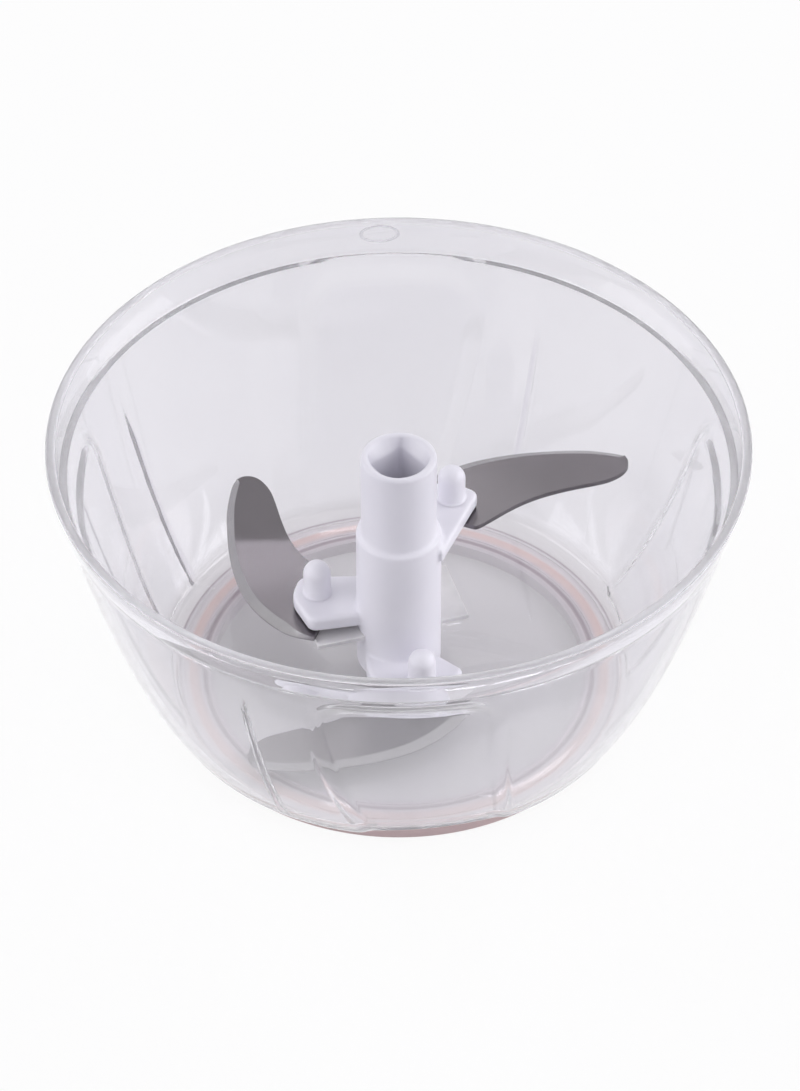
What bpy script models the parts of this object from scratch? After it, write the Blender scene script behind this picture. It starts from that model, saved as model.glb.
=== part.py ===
# Clear bowl of a mini food chopper on its soft base ring, with the three-blade set that turns on the bowl's pin.
# Metres, +Z up. The origin is on the table under the bowl's axis, and the photographed front faces -Y.

import math

import bmesh
import bpy
from mathutils import Matrix, Vector

for item in list(bpy.data.objects):
    bpy.data.objects.remove(item, do_unlink=True)

# Clearance between pieces that touch, and how far a cutter runs past what it cuts
FIT_GAP = 0.0003
CUTTER_REACH = 0.001

# Bowl: heights above the table, radii from the axis
BOWL_HEIGHT = 0.0585
RIM_RADIUS = 0.0620
RIM_EDGE_ROUND = 0.0005
RIM_BAND_HEIGHT = 0.0060
RIM_BAND_FLARE = 0.0008
RIM_BAND_THICKNESS = 0.0018
BAND_STEP = 0.0008
LID_SEAT_DEPTH = 0.0054
WALL = 0.0018
KNEE_RADIUS = 0.05205
KNEE_HEIGHT = 0.0173
HEEL_RADIUS = 0.0446
HEEL_HEIGHT = 0.0034
HEEL_ROUND = 0.0010
FLOOR_TOP = 0.0047
FLOOR_THICKNESS = 0.0018
FLOOR_FILLET = 0.0022

# The four sunken wall panels: arch-topped, a little flatter than the wall, twisted round the axis towards the base
PANEL_COUNT = 4
PANEL_HALF_ANGLE = math.radians(16.3)
PANEL_TURN = math.radians(1.2)
PANEL_TWIST = math.radians(7.6)
PANEL_TOP = 0.0500
PANEL_CORNER = 0.0080
PANEL_CORNER_ANGLES = [math.radians(a) for a in (25, 45, 62)]
PANEL_SINK = 0.0013
PANEL_SINK_AT_EDGE = 0.0009
PANEL_STEP = 0.0012
PANEL_RAMP = 0.0036

# The four upright ribs inside the wall
RIB_TURN = math.radians(62.5)
RIB_WIDTH = 0.0012
RIB_PROUD = 0.0009
RIB_TOP = 0.0455
RIB_RUN_OUT = 0.0100

# Plain oval boss on the outside of the rim band
RIM_MARK_AZIMUTH = math.radians(93.4)
RIM_MARK_LENGTH = 0.0075
RIM_MARK_HEIGHT = 0.0036
RIM_MARK_PROUD = 0.0003

# Foot walls under the floor and the soft ring that clips round them
HEEL_OVERHANG = 0.0037
RING_BASE = 0.0010
RING_OUTER_FIN = 0.0009
RING_MIDDLE_FIN = 0.0019
RING_INNER_FIN = 0.0009
RING_EDGE_ROUND = 0.0003
FOOT_WALL = 0.0010

# Steel pin in the middle of the floor, pressed into the floor's boss
PIN_RADIUS = 0.0025
PIN_TOP = 0.0300
PIN_BOTTOM = 0.0016
BOSS_WALL = 0.0020
BOSS_SKIN = 0.0010
PAD_RADIUS = 0.0062
PAD_RISE = 0.0005

# Blade hub
HUB_TOP = 0.0542
HUB_UPPER_RADIUS = 0.00677
HUB_LOWER_RADIUS = 0.00766
HUB_STEP_HEIGHT = 0.0366
HUB_EDGE_ROUND = 0.0005
PIN_BORE_TOP = 0.0315
SOCKET_SIDE = 0.0074
SOCKET_TURN = math.radians(85.4)
SOCKET_DEPTH = 0.0150
FUNNEL_RADIUS = 0.0056
FUNNEL_DEPTH = 0.0024

# Arms of the hub: outline in the arm's own frame (outwards, anticlockwise), each corner with its radius
ARM_THICKNESS = 0.0028
ARM_EDGE_ROUND = 0.0004
ARM_OUTLINE = [
    (0.0022, -0.0072, 0.0),
    (0.0178, -0.0036, 0.0022),
    (0.0174, 0.0026, 0.0020),
    (0.0124, 0.0082, 0.0015),
    (0.0060, 0.0042, 0.0),
]
LOW_ARM_HEEL = (0.0080, -0.0088, 0.0030)

# Blades: one stamped outline in shares of the blade's length, with the rivet hole as its origin and +X along it
BLADE_THICKNESS = 0.0009
BLADE_LENGTH = 0.0345
BLADE_BEVEL_WIDTH = 0.0014
BLADE_EDGE_THICKNESS = 0.0003
BLADE_CUTTING_EDGE = [
    (-0.221, 0.133), (-0.133, 0.223), (-0.038, 0.270), (0.101, 0.304), (0.246, 0.310), (0.391, 0.287),
    (0.536, 0.246), (0.696, 0.183), (0.835, 0.116), (0.936, 0.046), (1.000, -0.016),
]
BLADE_BACK = [
    (0.991, -0.060), (0.962, -0.098), (0.910, -0.133), (0.841, -0.150), (0.768, -0.142), (0.638, -0.116),
    (0.507, -0.099), (0.391, -0.099), (0.275, -0.119), (0.159, -0.151), (0.072, -0.171), (0.041, -0.151),
]
BLADE_BEVEL_RAMP = 3
BLADE_BEND_TURN = math.radians(20.0)
BLADE_BEND_RUN = 0.0060
BLADE_BEND_STEPS = 3

# Rivets with domed heads that hold the blades under the arms
RIVET_HEAD_RADIUS = 0.0025
RIVET_HEAD_HEIGHT = 0.0070
RIVET_STEM_RADIUS = 0.0015
RIVET_FOOT_RADIUS = 0.0026
RIVET_FOOT_HEIGHT = 0.0009

# Steel plate that crosses the hub under the middle blade, whose rivet holds its left end
PLATE_LENGTH = 0.0286
PLATE_WIDTH = 0.0144
PLATE_THICKNESS = 0.0010
PLATE_TURN = math.radians(16.9)
PLATE_END_MARGIN = 0.0024
PLATE_SIDE_MARGIN = 0.0036
PLATE_CORE_RADIUS = 0.0045

ARMS = [
    {"name": "upper", "azimuth": math.radians(50.0), "top": 0.0344, "rivet_radius": 0.0148,
     "blade_azimuth": math.radians(24.5), "bend_start": 0.0070, "blade_rise": math.radians(3.5), "wide_heel": False},
    {"name": "middle", "azimuth": math.radians(170.0), "top": 0.0192, "rivet_radius": 0.0150,
     "blade_azimuth": math.radians(118.0), "bend_start": 0.0130, "blade_rise": math.radians(11.0), "wide_heel": False},
    {"name": "lower", "azimuth": math.radians(289.0), "top": 0.0110, "rivet_radius": 0.0128,
     "blade_azimuth": math.radians(211.0), "bend_start": 0.0130, "blade_rise": 0.0, "wide_heel": True},
]

# Facets
LOBE_STEPS = 3
WALL_STEPS = 6
ROUND_SEGMENTS = 64
HUB_SEGMENTS = 48
RIVET_SEGMENTS = 20
CORNER_STEPS = 5

# Values that follow from the ones above
BAND_BOTTOM = BOWL_HEIGHT - RIM_BAND_HEIGHT
LID_SEAT = BOWL_HEIGHT - LID_SEAT_DEPTH
SHOULDER_RADIUS = RIM_RADIUS - RIM_BAND_FLARE - BAND_STEP
FLOOR_UNDERSIDE = FLOOR_TOP - FLOOR_THICKNESS
RING_RADIUS = HEEL_RADIUS - HEEL_OVERHANG
OUTER_FOOT = RING_RADIUS - RING_OUTER_FIN - FIT_GAP
MIDDLE_FIN = OUTER_FOOT - FOOT_WALL - FIT_GAP
INNER_FOOT = MIDDLE_FIN - RING_MIDDLE_FIN - FIT_GAP
INNER_FIN = INNER_FOOT - FOOT_WALL - FIT_GAP
RING_BORE = INNER_FIN - RING_INNER_FIN
FOOT_BOTTOM = RING_BASE + FIT_GAP
FIN_TOP = FLOOR_UNDERSIDE - FIT_GAP
PIN_BORE_RADIUS = PIN_RADIUS + FIT_GAP
BOSS_RADIUS = PIN_BORE_RADIUS + BOSS_WALL
BOSS_BOTTOM = PIN_BOTTOM - FIT_GAP - BOSS_SKIN
PAD_TOP = FLOOR_TOP + PAD_RISE
HUB_BOTTOM = PAD_TOP + FIT_GAP


def material(name, color, roughness, metallic=0.0, alpha=1.0, transmission=0.0):
    made = bpy.data.materials.new(name)
    made.use_nodes = True
    shader = made.node_tree.nodes["Principled BSDF"]
    shader.inputs["Base Color"].default_value = (*color, 1.0)
    shader.inputs["Roughness"].default_value = roughness
    shader.inputs["Metallic"].default_value = metallic
    shader.inputs["Alpha"].default_value = alpha
    shader.inputs["Transmission Weight"].default_value = transmission
    made.diffuse_color = (*color, alpha)
    return made


CLEAR_PLASTIC = material("clear_plastic", (0.86, 0.85, 0.88), 0.05, alpha=0.35, transmission=0.9)
PINK_RUBBER = material("pink_rubber", (0.78, 0.42, 0.38), 0.55)
WHITE_PLASTIC = material("white_plastic", (0.85, 0.85, 0.88), 0.32)
BRUSHED_STEEL = material("brushed_steel", (0.42, 0.41, 0.42), 0.32, metallic=0.9)
BRIGHT_STEEL = material("bright_steel", (0.70, 0.70, 0.70), 0.25, metallic=0.9)


def add_object(name, form, surface, smooth_angle=35.0):
    """Turns a bmesh into a smooth-shaded object of the scene."""
    bmesh.ops.recalc_face_normals(form, faces=form.faces)
    mesh = bpy.data.meshes.new(name)
    form.to_mesh(mesh)
    form.free()
    mesh.shade_smooth()
    mesh.set_sharp_from_angle(angle=math.radians(smooth_angle))
    made = bpy.data.objects.new(name, mesh)
    bpy.context.scene.collection.objects.link(made)
    if surface:
        mesh.materials.append(surface)
    return made


def add_cutter(name, form):
    made = add_object(name, form, None)
    made.hide_render = True
    made.display_type = "WIRE"
    return made


def boolean(target, operation, other):
    step = target.modifiers.new(f"{operation.lower()} {other.name}", "BOOLEAN")
    step.operation = operation
    step.solver = "EXACT"
    step.object = other


def polar(radius, azimuth, height):
    return (radius * math.cos(azimuth), radius * math.sin(azimuth), height)


def stitch_rings(form, rings):
    """Joins rings of equal length with quads, and closes the first and last ring with a face."""
    count = len(rings[0])
    for upper, lower in zip(rings, rings[1:]):
        for i in range(count):
            j = (i + 1) % count
            form.faces.new((upper[i], upper[j], lower[j], lower[i]))
    form.faces.new(rings[0])
    form.faces.new(rings[-1])


def revolve(profile, segments):
    """A turned solid from (radius, height) points. Ends off the axis are joined into a closed loop."""
    form = bmesh.new()
    rings = [
        [form.verts.new(polar(radius, 2 * math.pi * k / segments, height)) for k in range(segments)]
        for radius, height in profile
    ]
    pairs = list(zip(rings, rings[1:] + rings[:1]))
    for upper, lower in pairs:
        for i in range(segments):
            j = (i + 1) % segments
            form.faces.new((upper[i], upper[j], lower[j], lower[i]))
    return form


def turned_solid(profile, segments):
    """A turned solid whose profile starts and ends near the axis, where flat caps close it."""
    form = bmesh.new()
    rings = [
        [form.verts.new(polar(radius, 2 * math.pi * k / segments, height)) for k in range(segments)]
        for radius, height in profile
    ]
    stitch_rings(form, rings)
    return form


def rounded_outline(corners, steps=CORNER_STEPS):
    """Points of a polygon whose (x, y, radius) corners are rounded by arcs."""
    points = []
    for i, (x, y, radius) in enumerate(corners):
        here = Vector((x, y))
        if radius == 0.0:
            points.append(here)
            continue
        to_last = (Vector(corners[i - 1][:2]) - here).normalized()
        to_next = (Vector(corners[(i + 1) % len(corners)][:2]) - here).normalized()
        half = to_last.angle(to_next) / 2
        centre = here + (to_last + to_next).normalized() * radius / math.sin(half)
        start = here + to_last * radius / math.tan(half) - centre
        sweep = math.pi - 2 * half
        turn = 1 if start.x * (-to_last.y) - start.y * (-to_last.x) > 0 else -1
        for k in range(steps + 1):
            a = turn * sweep * k / steps
            points.append(centre + Vector((
                start.x * math.cos(a) - start.y * math.sin(a),
                start.x * math.sin(a) + start.y * math.cos(a),
            )))
    return points


def prism(points, bottom, top):
    """An extrusion of flat (x, y) points between two heights."""
    form = bmesh.new()
    base = form.faces.new([form.verts.new((x, y, bottom)) for x, y in points])
    moved = bmesh.ops.extrude_face_region(form, geom=[base])["geom"]
    lifted = [v for v in moved if isinstance(v, bmesh.types.BMVert)]
    bmesh.ops.translate(form, verts=lifted, vec=(0, 0, top - bottom))
    return form


def cylinder(radius, bottom, top, segments, centre=(0.0, 0.0)):
    circle = [
        (centre[0] + radius * math.cos(2 * math.pi * k / segments),
         centre[1] + radius * math.sin(2 * math.pi * k / segments))
        for k in range(segments)
    ]
    return prism(circle, bottom, top)


def wall_curve(height):
    """Outer radius and slope of the bowl's wall: a parabola from the shoulder to the heel, bent at the knee."""
    z0, z1, z2 = BAND_BOTTOM, KNEE_HEIGHT, HEEL_HEIGHT
    r0, r1, r2 = SHOULDER_RADIUS, KNEE_RADIUS, HEEL_RADIUS
    bend, run, rest = z0 - 2 * z1 + z2, 2 * (z1 - z0), z0 - height
    root = math.sqrt(max(run * run - 4 * bend * rest, 0.0))
    t = 2 * rest / (-run + root)
    radius = (1 - t) ** 2 * r0 + 2 * (1 - t) * t * r1 + t * t * r2
    slope = ((1 - t) * (r1 - r0) + t * (r2 - r1)) / ((1 - t) * (z1 - z0) + t * (z2 - z1))
    return radius, slope


def panel_radius(offset, height):
    """Outer radius on a sunken panel, at an angle from its middle, where it lies deepest."""
    share = (offset / PANEL_HALF_ANGLE) ** 2
    return wall_curve(height)[0] - PANEL_SINK + (PANEL_SINK - PANEL_SINK_AT_EDGE) * share


def panel_twist(height):
    share = min(max((PANEL_TOP - height) / (PANEL_TOP - HEEL_HEIGHT), 0.0), 1.0)
    return PANEL_TWIST * share * share * (3 - 2 * share)


def arch_height(offset, grow):
    """Height of the panel's arch at an angle from its middle, its outline grown outwards by a length."""
    radius = wall_curve(PANEL_TOP)[0]
    half = PANEL_HALF_ANGLE * radius
    corner = PANEL_CORNER + grow
    inwards = abs(offset) * radius - (half - PANEL_CORNER)
    if inwards <= 0:
        return PANEL_TOP + grow
    if inwards >= corner:
        return PANEL_TOP - PANEL_CORNER
    return PANEL_TOP - PANEL_CORNER + math.sqrt(corner * corner - inwards * inwards)


def bowl_columns():
    """Columns of the bowl's wall, anticlockwise: angle at the rim, share of the twist, offset from the panel's
    middle (None between panels) and whether a rib stands there."""
    top_radius = wall_curve(PANEL_TOP)[0]
    edge = PANEL_STEP / 2 / top_radius
    corner = PANEL_CORNER / top_radius
    flat = PANEL_HALF_ANGLE - corner
    inside = [0.0, flat / 2, flat]
    inside += [flat + corner * math.sin(angle) for angle in PANEL_CORNER_ANGLES]
    inside += [PANEL_HALF_ANGLE - edge]
    offsets = [-x for x in reversed(inside[1:])] + inside
    rib_half = RIB_WIDTH / 2 / top_radius
    columns = []
    for k in range(PANEL_COUNT):
        middle = PANEL_TURN + 2 * math.pi * k / PANEL_COUNT
        rim_edge = PANEL_HALF_ANGLE + edge
        rib = RIB_TURN + 2 * math.pi * k / PANEL_COUNT
        next_edge = middle + 2 * math.pi / PANEL_COUNT - rim_edge
        columns.append((middle - rim_edge, 1.0, None, False))
        columns += [(middle + offset, 1.0, offset, False) for offset in offsets]
        last_edge = middle + rim_edge
        columns.append((last_edge, 1.0, None, False))
        for step in range(1, LOBE_STEPS + 1):
            share = step / (LOBE_STEPS + 1)
            columns.append((last_edge + (rib - rib_half * 2 - last_edge) * share, 1 - share, None, False))
        columns.append((rib - rib_half * 2, 0.0, None, False))
        columns.append((rib - rib_half, 0.0, None, True))
        columns.append((rib + rib_half, 0.0, None, True))
        columns.append((rib + rib_half * 2, 0.0, None, False))
        columns.append(((rib + rib_half * 2 + next_edge) / 2, 0.5, None, False))
    return columns


def column_azimuth(column, height):
    angle, twist_share = column[:2]
    return angle + twist_share * panel_twist(height)


def wall_rows(columns, inner):
    """Rows of points down the wall, outside or inside. Rows bend over each panel's arch."""
    grow = PANEL_STEP / 2
    spread = 0.6 * WALL if inner else 0.0
    top = LID_SEAT if inner else BAND_BOTTOM
    bottom = FLOOR_TOP + FLOOR_FILLET if inner else HEEL_HEIGHT
    row_count = WALL_STEPS + 4
    rows = [[] for _ in range(row_count)]
    for column in columns:
        offset, rib = column[2], column[3]
        over = arch_height(offset, grow + spread) if offset is not None else PANEL_TOP - PANEL_CORNER
        under = over - PANEL_RAMP
        heights = [top, (top + over) / 2, over]
        heights += [under + (bottom - under) * step / WALL_STEPS for step in range(WALL_STEPS)] + [bottom]
        for row, height in zip(rows, heights):
            sunk = offset is not None and height <= under
            radius, slope = wall_curve(min(height, BAND_BOTTOM))
            if sunk:
                radius = panel_radius(offset, height)
            if inner:
                radius -= WALL * math.hypot(1.0, slope)
                if rib:
                    radius -= RIB_PROUD * min(max((RIB_TOP - height) / RIB_RUN_OUT, 0.0), 1.0)
            row.append(polar(radius, column_azimuth(column, height), height))
    return rows


def bowl_form():
    """The bowl as rings of points: in over the rim, down the wall, under the foot and up through the floor."""
    columns = bowl_columns()

    def level(radius, height):
        return [polar(radius, column_azimuth(column, height), height) for column in columns]

    def follow(row, inwards, height):
        moved = []
        for x, y, _ in row:
            radius = math.hypot(x, y)
            moved.append((x * (radius - inwards) / radius, y * (radius - inwards) / radius, height))
        return moved

    outer = wall_rows(columns, inner=False)
    inner = wall_rows(columns, inner=True)
    band_inner_top = RIM_RADIUS - RIM_BAND_THICKNESS
    band_inner_low = band_inner_top - RIM_BAND_FLARE / 2
    rings = [
        level(PIN_BORE_RADIUS, PIN_BOTTOM - FIT_GAP),
        level(PIN_BORE_RADIUS, PAD_TOP),
        level(PAD_RADIUS, PAD_TOP),
        level(PAD_RADIUS + PAD_RISE, FLOOR_TOP),
        level(INNER_FOOT - FOOT_WALL, FLOOR_TOP),
    ]
    for angle in (90, 55, 25):
        turn = math.radians(angle)
        rings.append(follow(
            inner[-1], FLOOR_FILLET * (1 - math.cos(turn)), FLOOR_TOP + FLOOR_FILLET * (1 - math.sin(turn)),
        ))
    rings += list(reversed(inner))
    rings += [
        level(band_inner_low, LID_SEAT),
        level(band_inner_top, BOWL_HEIGHT - RIM_EDGE_ROUND),
        level(band_inner_top + RIM_EDGE_ROUND / 2, BOWL_HEIGHT),
        level(RIM_RADIUS - RIM_EDGE_ROUND, BOWL_HEIGHT),
        level(RIM_RADIUS, BOWL_HEIGHT - RIM_EDGE_ROUND),
        level(RIM_RADIUS - RIM_BAND_FLARE, BAND_BOTTOM + BAND_STEP),
    ]
    rings += outer
    rings += [
        follow(outer[-1], HEEL_ROUND, FLOOR_UNDERSIDE),
        level(OUTER_FOOT, FLOOR_UNDERSIDE),
        level(OUTER_FOOT, FOOT_BOTTOM),
        level(OUTER_FOOT - FOOT_WALL, FOOT_BOTTOM),
        level(OUTER_FOOT - FOOT_WALL, FLOOR_UNDERSIDE),
        level(INNER_FOOT, FLOOR_UNDERSIDE),
        level(INNER_FOOT, FOOT_BOTTOM),
        level(INNER_FOOT - FOOT_WALL, FOOT_BOTTOM),
        level(INNER_FOOT - FOOT_WALL, FLOOR_UNDERSIDE),
        level(BOSS_RADIUS, FLOOR_UNDERSIDE),
        level(BOSS_RADIUS, BOSS_BOTTOM),
    ]
    form = bmesh.new()
    stitch_rings(form, [[form.verts.new(point) for point in ring] for ring in rings])
    return form


def build_bowl():
    bowl = add_object("bowl", bowl_form(), CLEAR_PLASTIC)
    height = BOWL_HEIGHT - RIM_BAND_HEIGHT / 2
    radius = RIM_RADIUS - RIM_BAND_FLARE / 2
    mark = cylinder(RIM_MARK_LENGTH / 2, -RIM_BAND_THICKNESS / 2, RIM_MARK_PROUD, 24)
    bmesh.ops.scale(mark, verts=mark.verts, vec=(1.0, RIM_MARK_HEIGHT / RIM_MARK_LENGTH, 1.0))
    place = (
        Matrix.Translation(polar(radius, RIM_MARK_AZIMUTH, height))
        @ Matrix.Rotation(RIM_MARK_AZIMUTH + math.pi / 2, 4, "Z")
        @ Matrix.Rotation(math.pi / 2, 4, "X")
    )
    bmesh.ops.transform(mark, matrix=place, verts=mark.verts)
    boolean(bowl, "UNION", add_cutter("rim_mark_form", mark))
    return bowl


def build_base_ring():
    """Soft ring with three upright fins, whose two grooves clip over the bowl's foot walls."""
    profile = [
        (RING_RADIUS - RING_OUTER_FIN, FIN_TOP),
        (RING_RADIUS, FIN_TOP),
        (RING_RADIUS, RING_EDGE_ROUND),
        (RING_RADIUS - RING_EDGE_ROUND, 0.0),
        (RING_BORE + RING_EDGE_ROUND, 0.0),
        (RING_BORE, RING_EDGE_ROUND),
        (RING_BORE, FIN_TOP),
        (INNER_FIN, FIN_TOP),
        (INNER_FIN, RING_BASE),
        (MIDDLE_FIN - RING_MIDDLE_FIN, RING_BASE),
        (MIDDLE_FIN - RING_MIDDLE_FIN, FIN_TOP),
        (MIDDLE_FIN, FIN_TOP),
        (MIDDLE_FIN, RING_BASE),
        (RING_RADIUS - RING_OUTER_FIN, RING_BASE),
    ]
    return add_object("base_ring", revolve(profile, ROUND_SEGMENTS), PINK_RUBBER)


def build_spindle_pin():
    chamfer = PIN_RADIUS / 5
    profile = [
        (PIN_RADIUS - chamfer, PIN_BOTTOM),
        (PIN_RADIUS, PIN_BOTTOM + chamfer),
    ]
    for angle in range(0, 90, 18):
        turn = math.radians(angle)
        profile.append((PIN_RADIUS * math.cos(turn), PIN_TOP - PIN_RADIUS * (1 - math.sin(turn))))
    return add_object("spindle_pin", turned_solid(profile, RIVET_SEGMENTS), BRIGHT_STEEL)


def hub_tube():
    edge = HUB_EDGE_ROUND
    profile = [
        (HUB_LOWER_RADIUS - edge, HUB_BOTTOM),
        (HUB_LOWER_RADIUS, HUB_BOTTOM + edge),
        (HUB_LOWER_RADIUS, HUB_STEP_HEIGHT - edge),
        (HUB_LOWER_RADIUS - edge, HUB_STEP_HEIGHT),
        (HUB_UPPER_RADIUS, HUB_STEP_HEIGHT + edge / 2),
        (HUB_UPPER_RADIUS, HUB_TOP - edge),
        (HUB_UPPER_RADIUS - edge, HUB_TOP),
    ]
    return turned_solid(profile, HUB_SEGMENTS)


def socket_form():
    """Square drive socket whose mouth spreads to a circle."""
    sides = 4
    per_side = HUB_SEGMENTS // sides
    half = SOCKET_SIDE / 2
    corner = half * math.sqrt(2)
    round_mouth, square = [], []
    for side in range(sides):
        start = SOCKET_TURN + side * math.pi / 2
        first = Vector(polar(corner, start, 0.0))
        last = Vector(polar(corner, start + math.pi / 2, 0.0))
        for k in range(per_side):
            round_mouth.append(polar(FUNNEL_RADIUS, start + math.pi / 2 * k / per_side, 0.0))
            square.append(tuple(first.lerp(last, k / per_side)))
    rings = []
    for outline, height in (
        (round_mouth, HUB_TOP + CUTTER_REACH),
        (round_mouth, HUB_TOP),
        (square, HUB_TOP - FUNNEL_DEPTH),
        (square, HUB_TOP - SOCKET_DEPTH),
    ):
        rings.append([(x, y, height) for x, y, _ in outline])
    form = bmesh.new()
    stitch_rings(form, [[form.verts.new(point) for point in ring] for ring in rings])
    return form


def arm_frame(arm):
    return Matrix.Rotation(arm["azimuth"], 4, "Z")


def rivet_place(arm):
    return Vector(polar(arm["rivet_radius"], arm["azimuth"], 0.0))


def arm_form(arm):
    corners = list(ARM_OUTLINE)
    if arm["wide_heel"]:
        corners.insert(1, LOW_ARM_HEEL)
    form = prism(rounded_outline(corners), arm["top"] - ARM_THICKNESS, arm["top"])
    rim = [e for e in form.edges if all(v.co.z > arm["top"] - ARM_THICKNESS / 2 for v in e.verts)]
    bmesh.ops.bevel(form, geom=rim, offset=ARM_EDGE_ROUND, segments=1, affect="EDGES")
    bmesh.ops.transform(form, matrix=arm_frame(arm), verts=form.verts)
    return form


def plate_outline(grow):
    """The cross plate seen from above, with an open notch round the hub's core, grown by a clearance."""
    notch = PLATE_CORE_RADIUS + FIT_GAP - grow
    rivet = Matrix.Rotation(-PLATE_TURN, 3, "Z") @ rivet_place(middle_arm())
    left, high = rivet.x - PLATE_END_MARGIN, rivet.y + PLATE_SIDE_MARGIN
    right, low = left + PLATE_LENGTH + grow, high - PLATE_WIDTH - grow
    left, high = left - grow, high + grow
    points = [(right, low), (right, high), (left, high), (left, low)]
    for k in range(2 * CORNER_STEPS + 1):
        turn = math.pi - math.pi * k / (2 * CORNER_STEPS)
        if k == 0:
            points.append((-notch, low))
        points.append((notch * math.cos(turn), notch * math.sin(turn)))
    points.append((notch, low))
    turned = Matrix.Rotation(PLATE_TURN, 2)
    return [tuple(turned @ Vector(point)) for point in points]


def middle_arm():
    return next(arm for arm in ARMS if arm["name"] == "middle")


def blade_top(arm):
    return arm["top"] - ARM_THICKNESS - FIT_GAP


def plate_top():
    return blade_top(middle_arm()) - BLADE_THICKNESS - FIT_GAP


def rivet_foot_top(arm):
    if arm["name"] == "middle":
        return plate_top() - PLATE_THICKNESS - FIT_GAP
    return blade_top(arm) - BLADE_THICKNESS - FIT_GAP


def rivet_hole(arm, bottom, top):
    place = rivet_place(arm)
    return cylinder(RIVET_STEM_RADIUS + FIT_GAP, bottom, top, RIVET_SEGMENTS, centre=(place.x, place.y))


def build_hub():
    hub = add_object("blade_hub", hub_tube(), WHITE_PLASTIC)
    for arm in ARMS:
        boolean(hub, "UNION", add_cutter(f"{arm['name']}_arm_form", arm_form(arm)))
    boolean(hub, "DIFFERENCE", add_cutter("socket_form", socket_form()))
    bore = cylinder(PIN_BORE_RADIUS, HUB_BOTTOM - CUTTER_REACH, PIN_BORE_TOP, RIVET_SEGMENTS)
    boolean(hub, "DIFFERENCE", add_cutter("pin_bore_form", bore))
    slot_top = plate_top() + FIT_GAP
    slot = prism(plate_outline(FIT_GAP), slot_top - PLATE_THICKNESS - 2 * FIT_GAP, slot_top)
    boolean(hub, "DIFFERENCE", add_cutter("plate_slot_form", slot))
    for arm in ARMS:
        hole = rivet_hole(arm, arm["top"] - ARM_THICKNESS - CUTTER_REACH, arm["top"] + CUTTER_REACH)
        boolean(hub, "DIFFERENCE", add_cutter(f"{arm['name']}_rivet_hole_form", hole))
    return hub


def blade_form():
    """A flat stamped blade, ground to a thin edge along its outer curve."""
    cutting = [Vector(point) * BLADE_LENGTH for point in BLADE_CUTTING_EDGE]
    rest = [Vector(point) * BLADE_LENGTH for point in BLADE_BACK]
    last = len(cutting) - 1
    ground = []
    for i, point in enumerate(cutting):
        along = (cutting[min(i + 1, last)] - cutting[max(i - 1, 0)]).normalized()
        inwards = Vector((along.y, -along.x)) * BLADE_BEVEL_WIDTH
        ground.append(point + inwards * min(1.0, i / BLADE_BEVEL_RAMP, (last - i) / BLADE_BEVEL_RAMP))
    form = bmesh.new()
    lower_edge = [form.verts.new((x, y, -BLADE_THICKNESS)) for x, y in cutting]
    upper_edge = [form.verts.new((x, y, BLADE_EDGE_THICKNESS - BLADE_THICKNESS)) for x, y in cutting]
    ridge = [form.verts.new((x, y, 0.0)) for x, y in ground[:-1]]
    lower_rest = [form.verts.new((x, y, -BLADE_THICKNESS)) for x, y in rest]
    upper_rest = [form.verts.new((x, y, 0.0)) for x, y in rest]
    for i in range(last):
        form.faces.new((lower_edge[i], lower_edge[i + 1], upper_edge[i + 1], upper_edge[i]))
        if i + 1 < last:
            form.faces.new((upper_edge[i], upper_edge[i + 1], ridge[i + 1], ridge[i]))
    form.faces.new((upper_edge[-2], upper_edge[-1], upper_rest[0], ridge[-1]))
    form.faces.new((lower_edge[-1], lower_rest[0], upper_rest[0], upper_edge[-1]))
    for i in range(len(rest) - 1):
        form.faces.new((lower_rest[i], lower_rest[i + 1], upper_rest[i + 1], upper_rest[i]))
    form.faces.new((lower_rest[-1], lower_edge[0], upper_edge[0], ridge[0], upper_rest[-1]))
    form.faces.new(ridge + upper_rest)
    form.faces.new(list(reversed(lower_edge + lower_rest)))
    return form


def bend_blade(form, start, rise):
    """Turns the outer blade upwards in a few folds across it, the outermost first."""
    across = Vector((math.cos(BLADE_BEND_TURN), math.sin(BLADE_BEND_TURN), 0.0))
    for step in reversed(range(BLADE_BEND_STEPS)):
        hinge = Vector((start + BLADE_BEND_RUN * step / (BLADE_BEND_STEPS - 1), 0.0, 0.0))
        bmesh.ops.bisect_plane(
            form, geom=form.verts[:] + form.edges[:] + form.faces[:], plane_co=hinge, plane_no=across,
        )
        beyond = [v for v in form.verts if (v.co - hinge).dot(across) > BLADE_THICKNESS / 100]
        turn = Matrix.Rotation(-rise / BLADE_BEND_STEPS, 4, Vector((-across.y, across.x, 0.0)))
        fold = Matrix.Translation(hinge) @ turn @ Matrix.Translation(-hinge)
        bmesh.ops.transform(form, matrix=fold, verts=beyond)


def build_blade(arm):
    form = blade_form()
    if arm["blade_rise"]:
        bend_blade(form, arm["bend_start"], arm["blade_rise"])
    place = Matrix.Translation(rivet_place(arm) + Vector((0, 0, blade_top(arm))))
    bmesh.ops.transform(form, matrix=place @ Matrix.Rotation(arm["blade_azimuth"], 4, "Z"), verts=form.verts)
    blade = add_object(f"{arm['name']}_blade", form, BRUSHED_STEEL)
    hole = rivet_hole(arm, blade_top(arm) - BLADE_THICKNESS - CUTTER_REACH, blade_top(arm) + CUTTER_REACH)
    boolean(blade, "DIFFERENCE", add_cutter(f"{arm['name']}_blade_hole_form", hole))
    return blade


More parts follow.
